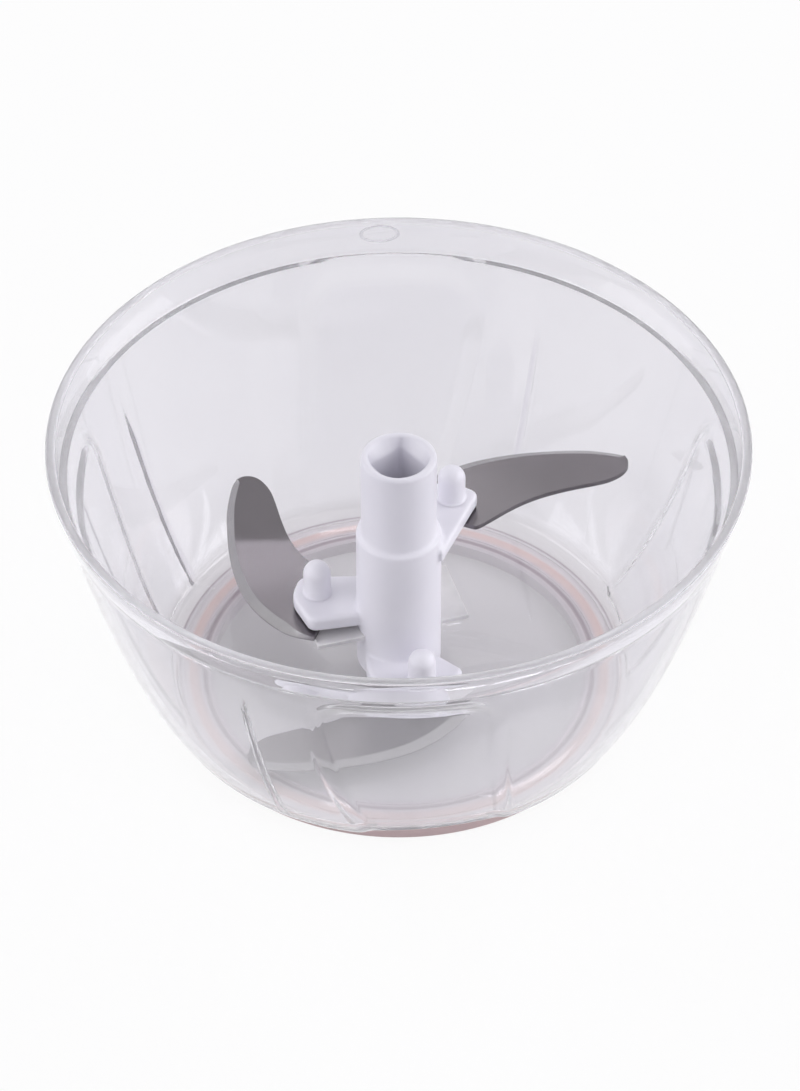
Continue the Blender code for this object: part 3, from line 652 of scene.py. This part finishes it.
def bowlRows():
    # The bowl's section as a closed loop, from the pin's bore over floor, wall and rim to the
    # heel and boss.
    rim, floor, pad = bowlSize["rimRadius"], bowlSize["floorTop"], bowlSize["padRadius"]
    count = fineness["shoulderRows"] + fineness["rampRows"] + fineness["wallRows"]
    insideTop = rim - bowlSize["bandThickness"]
    insideLow = insideTop - bowlSize["insideFlare"]
    top, edge = bowlSize["height"], bowlSize["rimRound"]
    boss, bossBottom = pinBore + pinSize["bossWall"], pinSize["bossBottom"]
    rows = [("level", pinBore, pinSize["bottom"] - fitGap), ("level", pinBore, padTop)]
    rows += [("level", pad, padTop), ("level", pad + bowlSize["padRise"], floor)]
    rows += [("level", radius, floor) for radius in fineness["floorRadii"]]
    fillet, filletRows = bowlSize["floorFillet"], fineness["filletRows"]
    for i in range(filletRows):
        turn = math.radians(90 - 90 * i / filletRows)
        inset, rise = fillet * (1 - math.cos(turn)), fillet * (1 - math.sin(turn))
        rows.append(("aboveFloor", inset, floor + rise))
    rows += [("inner", 1 - i / count, 0.0) for i in range(count + 1)]
    corner = bowlSize["seatCorner"]
    rows += [("level", insideLow - corner, lidSeat), ("level", insideLow, lidSeat + corner)]
    rows += [("level", blended(insideLow, insideTop, 0.5), blended(lidSeat, top, 0.5))]
    rounding = arcPoints((insideTop + edge, top - edge), edge, 180, 90, 4)
    rounding += arcPoints((rim - edge, top - edge), edge, 90, 0, 4)
    rows += [("level", *point) for point in rounding]
    bandLow = rim - bowlSize["bandFlare"]
    rows += [("level", blended(rim, bandLow, 0.5), blended(top, bandBottom, 0.5))]
    rows += [("level", bandLow, bandBottom + 2 * bowlSize["bandStep"])]
    rows += [("outer", i / count, 0.0) for i in range(count + 1)]
    heel, heelRows = bowlSize["heel"][1], fineness["heelRows"]
    for i in range(1, heelRows + 1):
        turn = math.radians(90 * i / heelRows)
        drop = (heel - bowlSize["heelUnderside"]) * math.sin(turn)
        rows.append(("heel", bowlSize["heelRound"] * (1 - math.cos(turn)), heel - drop))
    underside = ringSize["outerFin"][1] + fitGap, ringSize["innerFin"][1], boss + 12 * mm, boss
    rows += [("level", radius, floorUnderside) for radius in underside]
    rows += [("level", boss, bossBottom), ("level", 0.0, bossBottom)]
    rows += [("level", 0.0, pinSize["bottom"] - fitGap)]
    return rows


def bowlForm():
    rows, columns = bowlRows(), bowlColumns()
    profile = []
    for kind, first, second in rows:
        if kind == "level":
            profile.append((first, second))
        else:
            # Only keeps the rows apart until the loop below moves them.
            profile.append((50 * mm + len(profile) * near, second + len(profile) * mm))
    form = spunForm(profile, len(columns), closed=False)
    row = form.verts.layers.int["row"]
    # This layer says how strongly the inside of each rib takes the painted shade.
    ribShadeLayer = form.verts.layers.float.new("ribShade")
    step = fullTurn / len(columns)
    for vert in form.verts:
        kind, first, second = rows[vert[row]]
        if kind == "level" and first == 0.0:
            continue
        angle, twistShare = columns[round(math.atan2(vert.co.y, vert.co.x) / step) % len(columns)]
        if kind == "level":
            vert.co = polar(first, angle + twistShare * panelTwist(second), second)
        elif kind in ("inner", "outer"):
            vert.co = polar(*wallPoint(angle, twistShare, first, kind == "inner"))
            if kind == "inner":
                vert[ribShadeLayer] = (ribHeight(angle, vert.co.z) / ribSize["proud"]) ** 2
        else:
            radius = wallPoint(angle, twistShare, 1.0, kind == "aboveFloor")[0]
            vert.co = polar(radius - first, angle + twistShare * panelTwist(second), second)
    return form


def rimMarkMesh():
    # The raised line of the oval inside the band: a closed shell that all but touches it. Its
    # section is in shares of the oval's half width and of the line's rise.
    section = [(1.0, 0.0), (1.0, 0.6), (0.95, 1.0), (0.88, 1.0), (0.83, 0.6), (0.83, 0.0)]
    form = spunForm(section, fineness["markSteps"], closed=True)
    slope = bowlSize["insideFlare"] / bowlSize["lidSeatDepth"]
    top, insideTop = bowlSize["height"], bowlSize["rimRadius"] - bowlSize["bandThickness"]
    for vert in form.verts:
        across, up, rise = vert.co
        height = markSize["height"] + up * markSize["tall"] / 2
        band = insideTop - slope * (top - height)
        angle = markSize["azimuth"] - across * markSize["wide"] / 2 / band
        vert.co = polar(band - markSize["gap"] - rise * markSize["proud"], angle, height)
    line = bpy.data.meshes.new("rim mark")
    form.to_mesh(line)
    form.free()
    return line


bowlShape = bowlForm()
bowlShape.from_mesh(rimMarkMesh())
bowl = newPiece("clear_bowl", bowlShape, clearMaterial, smoothAngle=32.0)
fitted(bowl, "bowl", "clear_plastic", "bowl")

# Base ring with three fins, and the steel pin in the floor's boss


def ringForm():
    groove, edge = ringSize["grooveFloor"], ringSize["round"]
    (bore, innerSide), (outerSide, radius) = ringSize["innerFin"], ringSize["outerFin"]
    middleIn, middleOut = ringSize["middleFin"]
    profile = [(outerSide, groove), (outerSide, finTop), (radius, finTop)]
    profile += arcPoints((radius - edge, edge), edge, 0, -90, 4)
    profile += arcPoints((bore + edge, edge), edge, -90, -180, 4)
    profile += [(bore, finTop), (innerSide, finTop), (innerSide, groove)]
    profile += [(middleIn, groove), (middleIn, finTop), (middleOut, finTop), (middleOut, groove)]
    return spunForm(profile, fineness["ringSteps"], closed=True)


def pinForm():
    radius, bottom = pinSize["radius"], pinSize["bottom"]
    chamfer = radius / 5
    profile = [(0.0, bottom), (radius - chamfer, bottom), (radius, bottom + chamfer)]
    profile += arcPoints((0.0, pinSize["top"] - radius), radius, 0, 90, 8)
    return spunForm(profile, fineness["pinSteps"], closed=False)


ring = newPiece("base_ring_visual", ringForm(), pinkMaterial)
fitted(ring, "bowl", "pink_rubber", "base_ring")
pin = newPiece("spindle_pin_visual", pinForm(), plateMaterial)
fitted(pin, "bowl", "bright_steel", "spindle_pin")

# Blade hub: shaft, three arms, drive socket and the bore for the pin

hubSize = {
    "top": 54.2 * mm,
    "upperRadius": 6.77 * mm,
    "lowerRadius": 7.66 * mm,
    "step": 36.6 * mm,
    "edge": 0.5 * mm,
    "boreTop": 31.5 * mm,
    "socketSide": 7.4 * mm,
    "socketTurn": math.radians(85.4),
    "socketDepth": 15.0 * mm,
    "funnelRadius": 5.6 * mm,
    "funnelDepth": 2.4 * mm,
    "voxel": 0.27 * mm,
    "smoothing": 3,
}
armSize = {
    "thickness": 2.8 * mm,
    "edge": 0.7 * mm,
    "cornerCut": 0.7,  # how far each corner's cut starts from it, as a share of its third figure
    "upper": [
        (2.2, -8.2, 0), (19.2, -2.9, 2.0), (18.4, 2.6, 2.0), (12.4, 8.2, 1.5), (6.0, 4.2, 0),
    ],
    "middle": [
        (2.2, -7.2, 0), (19.0, -3.6, 2.2), (19.5, 1.7, 2.6), (14.8, 8.0, 1.8), (6.4, 4.9, 0),
    ],
    "lower": [
        (2.2, -7.2, 0), (8.0, -8.8, 3.0), (17.8, -3.6, 2.2), (17.4, 2.6, 2.0), (12.4, 8.2, 1.5),
        (6.0, 4.2, 0),
    ],
}
# Angles in degrees and lengths in millimetres: each arm's direction and top, its rivet's distance
# from the axis, its blade's direction, and where, over which run and how far that blade rises.
arms = {
    "upper": {"azimuth": 50.0, "top": 34.4, "rivet": 14.8, "blade": 24.5,
              "bendTo": 44.5, "bendStart": 6.6, "bendRun": 9.0, "rise": 3.5},
    "middle": {"azimuth": 170.0, "top": 19.2, "rivet": 15.0, "blade": 118.0,
               "bendTo": 90.0, "bendStart": 16.8, "bendRun": 3.0, "rise": 14.0},
    "lower": {"azimuth": 289.0, "top": 11.0, "rivet": 12.8, "blade": 211.0,
              "bendTo": 231.0, "bendStart": 12.0, "bendRun": 9.0, "rise": 0.0},
}
hubBottom = padTop + fitGap


def rivetPlace(arm):
    return polar(arm["rivet"] * mm, math.radians(arm["azimuth"]))


def shaftForm():
    lower, upper, edge = hubSize["lowerRadius"], hubSize["upperRadius"], hubSize["edge"]
    top, step = hubSize["top"], hubSize["step"]
    profile = [(0.0, hubBottom), (lower - edge, hubBottom), (lower, hubBottom + edge)]
    profile += [(lower, step - edge)]
    profile += arcPoints((lower - edge, step - edge), edge, 15, 75, 3)
    profile += [(upper, step + edge / 2), (upper, top - edge)]
    profile += arcPoints((upper - edge, top - edge), edge, 15, 75, 3)
    profile += [(upper - edge, top), (0.0, top)]
    return spunForm(profile, fineness["shaftSteps"], closed=False)


def slabForm(outline, top, thickness):
    form = bmesh.new()
    base = form.faces.new([form.verts.new((x, y, top - thickness)) for x, y in outline])
    lifted = movedVerts(bmesh.ops.extrude_face_region(form, geom=[base]))
    bmesh.ops.translate(form, verts=lifted, vec=(0, 0, thickness))
    return form


def armForm(arm, name):
    top, thickness = arm["top"] * mm, armSize["thickness"]
    form = slabForm([(x * mm, y * mm) for x, y, _ in armSize[name]], top, thickness)
    for x, y, radius in armSize[name]:
        if radius:
            upright = [
                e for e in form.edges
                if all(math.hypot(v.co.x - x * mm, v.co.y - y * mm) < near for v in e.verts)
            ]
            rounded(form, upright, radius * mm * armSize["cornerCut"], 8)
    bmesh.ops.recalc_face_normals(form, faces=form.faces[:])
    rims = levelEdges(form)
    upperRim = [e for e in rims if e.verts[0].co.z > top - near]
    lowerRim = [e for e in rims if e.verts[0].co.z < top - thickness + near]
    rounded(form, upperRim, armSize["edge"], 4)
    rounded(form, [e for e in lowerRim if e.is_valid], armSize["edge"] / 2, 2)
    turned(form, form.verts, math.radians(arm["azimuth"]))
    return form


def socketForm():
    # A round mouth that narrows to the square of the drive socket.
    mouth, half, top = hubSize["funnelRadius"], hubSize["socketSide"] / 2, hubSize["top"]
    steps = fineness["socketSteps"]
    form = bmesh.new()
    rings = []
    for radius, height, square in (
        (mouth, top + mm, False),
        (mouth, top, False),
        (half, top - hubSize["funnelDepth"], True),
        (half, top - hubSize["socketDepth"], True),
    ):
        ring = bmesh.ops.create_circle(form, segments=steps, radius=radius)["verts"]
        if square:
            for vert in ring:
                vert.co *= radius / max(abs(vert.co.x), abs(vert.co.y))
        turned(form, ring, hubSize["socketTurn"] + math.radians(45))
        bmesh.ops.translate(form, verts=ring, vec=(0, 0, height))
        rings.append([e for e in form.edges if e.verts[0] in ring and e.verts[1] in ring])
    for upper, lower in zip(rings, rings[1:]):
        bmesh.ops.bridge_loops(form, edges=upper + lower)
    bmesh.ops.holes_fill(form, edges=rings[0] + rings[-1], sides=0)
    return form


def boreForm():
    bottom, top = hubBottom - mm, hubSize["boreTop"]
    form = bmesh.new()
    bmesh.ops.create_cone(
        form, cap_ends=True, segments=fineness["pinSteps"], radius1=pinBore, radius2=pinBore,
        depth=top - bottom, matrix=Matrix.Translation((0.0, 0.0, (top + bottom) / 2)),
    )
    return form


def hubPiece():
    hub = newPiece("moulded_hub", shaftForm(), None)
    joins = [newPiece(f"{name} arm", armForm(arm, name), None) for name, arm in arms.items()]
    combined(hub, "UNION", joins)
    cuts = [newPiece("socket cut", socketForm(), None), newPiece("bore cut", boreForm(), None)]
    combined(hub, "DIFFERENCE", cuts)
    grain = hub.modifiers.new("even mesh", "REMESH")
    grain.mode = "VOXEL"
    grain.voxel_size = hubSize["voxel"]
    applied(hub)
    form = bmesh.new()
    form.from_mesh(hub.data)
    for _ in range(hubSize["smoothing"]):
        bmesh.ops.smooth_vert(
            form, verts=form.verts, factor=0.5, use_axis_x=True, use_axis_y=True, use_axis_z=True,
        )
    form.to_mesh(hub.data)
    form.free()
    hub.data.shade_smooth()
    hub.data.materials.clear()
    hub.data.materials.append(whiteMaterial)
    return hub


fitted(hubPiece(), "blade_set", "white_plastic", "blade_hub")

# Rivet pegs: a domed head on the arm, a stem through arm and blade, and a spread foot

pegSize = {
    "headRadius": 2.5 * mm, "headHeight": 7.0 * mm, "stemRadius": 1.5 * mm,
    "footRadius": 2.6 * mm, "footHeight": 0.9 * mm, "skirt": 0.35 * mm,
}
bladeSize = {
    "thickness": 0.9 * mm,
    "length": 34.5 * mm,
    "bevelWidth": 1.95 * mm,
    "edgeThickness": 0.25 * mm,
    "columns": 96,
    "rows": 14,
    "bevelRows": 3,
    "bevelRunIn": 0.12,  # share of the length over which the bevel widens
    "widestBevel": 0.45,  # share of the blade's width
    "tipCrowding": 1.35,
}
# Outlines from the rivet's centre, as shares of the blade's length
cuttingEdge = [
    (-0.221, 0.133), (-0.133, 0.223), (-0.038, 0.270), (0.101, 0.304), (0.246, 0.310),
    (0.391, 0.287), (0.536, 0.246), (0.696, 0.183), (0.835, 0.116), (0.936, 0.046),
    (0.985, 0.004), (1.000, -0.020),
]
bladeBack = [
    (0.041, -0.151), (0.072, -0.171), (0.159, -0.151), (0.275, -0.119), (0.391, -0.099),
    (0.507, -0.099), (0.638, -0.116), (0.768, -0.142), (0.848, -0.152), (0.922, -0.142),
    (0.972, -0.114), (0.997, -0.074), (1.000, -0.034),
]
plateSize = {
    "length": 28.4 * mm, "width": 14.1 * mm, "thickness": 1.0 * mm, "turn": math.radians(16.9),
    "endMargin": 2.6 * mm, "sideMargin": 4.6 * mm, "notch": 4.8 * mm, "edge": 0.15 * mm,
}


def bladeTop(arm):
    return arm["top"] * mm - armSize["thickness"] - fitGap


def plateTop():
    return bladeTop(arms["middle"]) - bladeSize["thickness"] - fitGap


def footTop(name):
    if name == "middle":
        return plateTop() - plateSize["thickness"] - fitGap
    return bladeTop(arms[name]) - bladeSize["thickness"] - fitGap


def pegForm(name, arm):
    head, stem, foot = pegSize["headRadius"], pegSize["stemRadius"], pegSize["footRadius"]
    top, footHeight, skirt = arm["top"] * mm, pegSize["footHeight"], pegSize["skirt"]
    under = footTop(name)
    profile = [(0.0, under - footHeight)]
    profile += arcPoints((foot - footHeight / 2, under - footHeight / 2), footHeight / 2, -90, 0, 4)
    seat = top + fitGap / 3
    profile += [(foot, under), (stem, under), (stem, seat), (head + skirt, seat)]
    profile += arcPoints((head + skirt, seat + skirt), skirt, 240, 180, 3)
    profile += arcPoints((0.0, top + pegSize["headHeight"] - head), head, 0, 90, 10)
    form = spunForm(profile, fineness["pinSteps"], closed=False)
    bmesh.ops.translate(form, verts=form.verts, vec=rivetPlace(arm))
    return form


def alongCurve(points, share):
    # A smooth curve through the points, read at a share of its length in points.
    place = min(max(share, 0.0), 1.0) * (len(points) - 1)
    i = min(int(place), len(points) - 2)
    t = place - i
    p0, p1, p2, p3 = (
        Vector(points[min(max(i + k, 0), len(points) - 1)]) for k in (-1, 0, 1, 2)
    )
    bend, twist = 2 * p0 - 5 * p1 + 4 * p2 - p3, 3 * p1 - p0 - 3 * p2 + p3
    return 0.5 * (2 * p1 + (p2 - p0) * t + bend * t * t + twist * t ** 3)


def bladeForm(arm):
    # A grid drawn out between the back and the cutting edge, thickened, ground along the edge and
    # bent upwards.
    size, thickness = bladeSize, bladeSize["thickness"]
    form = bmesh.new()
    bmesh.ops.create_grid(form, x_segments=size["columns"], y_segments=size["rows"], size=0.5)
    uv = form.loops.layers.uv.new("blade")
    for face in form.faces:
        for loop in face.loops:
            loop[uv].uv = (loop.vert.co.x + 0.5, loop.vert.co.y + 0.5)
    grid = {v: (v.co.x + 0.5, v.co.y + 0.5) for v in form.verts}
    lifted = movedVerts(bmesh.ops.extrude_face_region(form, geom=form.faces[:]))
    for vert in lifted:
        grid[vert] = (vert.co.x + 0.5, vert.co.y + 0.5)
    upper = set(lifted)
    for vert, (along, across) in grid.items():
        share = 1 - (1 - along) ** size["tipCrowding"]
        cutting = alongCurve(cuttingEdge, share) * size["length"]
        back = alongCurve(bladeBack, share) * size["length"]
        width = (cutting - back).length
        bevel = size["bevelWidth"] * softStep(along / size["bevelRunIn"])
        ridge = 1 - min(bevel, width * size["widestBevel"]) / max(width, 0.001 * mm)
        flatRows = size["rows"] - size["bevelRows"]
        row = round(across * size["rows"])
        if row <= flatRows:
            place = ridge * row / flatRows
        else:
            place = blended(ridge, 1.0, (row - flatRows) / size["bevelRows"])
        flat = back.lerp(cutting, place)
        groundShare = max(place - ridge, 0.0) / max(1 - ridge, 0.001)
        ground = (thickness - size["edgeThickness"]) * groundShare
        vert.co = (flat.x, flat.y, -ground if vert in upper else -thickness)
    across = polar(1.0, math.radians(arm["bendTo"] - arm["blade"]))
    rise, start, run = math.radians(arm["rise"]), arm["bendStart"] * mm, arm["bendRun"] * mm
    radius = run / rise if rise else 0.0
    for vert in form.verts:
        beyond = vert.co.dot(across) - start
        if not rise or beyond <= 0:
            continue
        turn = rise * min(beyond / run, 1.0)
        rest = max(beyond - run, 0.0)
        level = radius * math.sin(turn) + rest * math.cos(turn) - vert.co.z * math.sin(turn)
        lift = radius * (1 - math.cos(turn)) + rest * math.sin(turn) + vert.co.z * math.cos(turn)
        base = vert.co - across * beyond
        vert.co = Vector((base.x, base.y, 0.0)) + across * level + Vector((0, 0, lift))
    bmesh.ops.remove_doubles(form, verts=form.verts[:], dist=near / 2)
    facing = Matrix.Rotation(math.radians(arm["blade"]), 4, "Z")
    seat = Matrix.Translation(rivetPlace(arm) + Vector((0, 0, bladeTop(arm))))
    bmesh.ops.transform(form, matrix=seat @ facing, verts=form.verts)
    return form


def plateForm():
    size = plateSize
    rivet = Matrix.Rotation(-size["turn"], 3, "Z") @ rivetPlace(arms["middle"])
    left, high = rivet.x - size["endMargin"], rivet.y + size["sideMargin"]
    right, low = left + size["length"], high - size["width"]
    outline = [(right, low), (right, high), (left, high), (left, low), (-size["notch"], low)]
    outline += arcPoints((0.0, 0.0), size["notch"], 180, 0, 16)
    outline += [(size["notch"], low)]
    form = slabForm(outline, plateTop(), size["thickness"])
    rounded(form, levelEdges(form), size["edge"], 2)
    turned(form, form.verts, size["turn"])
    return form


for name, arm in arms.items():
    peg = newPiece(f"{name}_peg", pegForm(name, arm), whiteMaterial)
    fitted(peg, "blade_set", "white_plastic", f"{name}_blade_rivet")
    blade = newPiece(f"{name}_ground_blade", bladeForm(arm), bladeMaterial, smoothAngle=12.0)
    fitted(blade, "blade_set", "brushed_steel", f"{name}_blade")
plate = newPiece("bevelled_plate", plateForm(), plateMaterial, smoothAngle=18.0)
fitted(plate, "blade_set", "bright_steel", "carrier_plate")

# Floor, world, lamps and camera

studio = {
    "floor": (0.86, 0.855, 0.865),
    "floorSide": 12.0,
    "floorRoughness": 0.9,
    "floorWhite": 0.9,
    "floorThroughPlastic": 0.2,
    "surroundings": (0.62, 0.61, 0.645),
    "lamps": [  # name, place, size and watts
        ("left softbox", (-1.2, -0.1, 0.55), (0.9, 1.2), 6.0),
        ("right softbox", (1.2, 0.1, 0.55), (0.9, 1.2), 8.5),
        ("back strip", (-0.08, 0.96, 0.713), (0.25, 0.08), 0.65),
    ],
    "cameraPlace": (0.000226, -0.638719, 0.619338),
    "cameraPitch": math.radians(47.442),
    "lens": 159.91,
    "sensor": 36.0,
    "bounces": 20,
}


def backgroundRays(tree):
    # 1 for rays that should meet the plain white background: from the camera, from gloss and
    # through glass.
    rays = tree.nodes.new("ShaderNodeLightPath")
    total = rays.outputs["Is Camera Ray"]
    for name in ("Is Glossy Ray", "Is Transmission Ray"):
        either = tree.nodes.new("ShaderNodeMath")
        either.operation = "MAXIMUM"
        tree.links.new(total, either.inputs[0])
        tree.links.new(rays.outputs[name], either.inputs[1])
        total = either.outputs[0]
    return total


def studioFloor():
    form = bmesh.new()
    bmesh.ops.create_grid(form, x_segments=1, y_segments=1, size=studio["floorSide"] / 2)
    floor = newPiece("floor", form, None)
    material = bpy.data.materials.new("floor")
    material.use_nodes = True
    tree = material.node_tree
    nodes, links = tree.nodes, tree.links
    shader = nodes["Principled BSDF"]
    shader.inputs["Base Color"].default_value = (*studio["floor"], 1.0)
    shader.inputs["Roughness"].default_value = studio["floorRoughness"]
    white = nodes.new("ShaderNodeEmission")
    white.inputs["Color"].default_value = (1.0, 1.0, 1.0, 1.0)
    white.inputs["Strength"].default_value = 1.0
    rays = nodes.new("ShaderNodeLightPath")
    through = nodes.new("ShaderNodeMix")
    through.inputs["A"].default_value = studio["floorWhite"]
    through.inputs["B"].default_value = studio["floorThroughPlastic"]
    share = nodes.new("ShaderNodeMath")
    share.operation = "MULTIPLY"
    mix = nodes.new("ShaderNodeMixShader")
    links.new(rays.outputs["Is Transmission Ray"], through.inputs["Factor"])
    links.new(through.outputs["Result"], share.inputs[0])
    links.new(backgroundRays(tree), share.inputs[1])
    links.new(share.outputs[0], mix.inputs["Fac"])
    links.new(shader.outputs[0], mix.inputs[1])
    links.new(white.outputs[0], mix.inputs[2])
    links.new(mix.outputs[0], nodes["Material Output"].inputs["Surface"])
    floor.data.materials.append(material)


def studioWorld():
    world = bpy.data.worlds.new("studio")
    bpy.context.scene.world = world
    world.use_nodes = True
    nodes, links = world.node_tree.nodes, world.node_tree.links
    white = nodes["Background"]
    white.inputs["Color"].default_value = (1.0, 1.0, 1.0, 1.0)
    plain = nodes.new("ShaderNodeBackground")
    plain.inputs["Color"].default_value = (*studio["surroundings"], 1.0)
    mix = nodes.new("ShaderNodeMixShader")
    links.new(backgroundRays(world.node_tree), mix.inputs["Fac"])
    links.new(plain.outputs[0], mix.inputs[1])
    links.new(white.outputs[0], mix.inputs[2])
    links.new(mix.outputs[0], nodes["World Output"].inputs["Surface"])


def areaLamp(name, place, size, watts):
    lamp = bpy.data.lights.new(name, "AREA")
    lamp.shape = "RECTANGLE"
    lamp.size, lamp.size_y = size
    lamp.energy = watts
    holder = bpy.data.objects.new(name, lamp)
    holder.location = place
    holder.rotation_euler = (-Vector(place)).to_track_quat("-Z", "Y").to_euler()
    bpy.context.scene.collection.objects.link(holder)


def studioCamera():
    data = bpy.data.cameras.new("camera")
    data.sensor_width = studio["sensor"]
    data.lens = studio["lens"]
    holder = bpy.data.objects.new("camera", data)
    holder.location = studio["cameraPlace"]
    holder.rotation_euler = (studio["cameraPitch"], 0.0, 0.0)
    bpy.context.scene.collection.objects.link(holder)
    bpy.context.scene.camera = holder


studioFloor()
studioWorld()
cycles = bpy.context.scene.cycles
cycles.max_bounces = cycles.glossy_bounces = cycles.transmission_bounces = studio["bounces"]
for lampValues in studio["lamps"]:
    areaLamp(*lampValues)
studioCamera()
bpy.context.scene.view_settings.view_transform = "Standard"
print("studio ready")
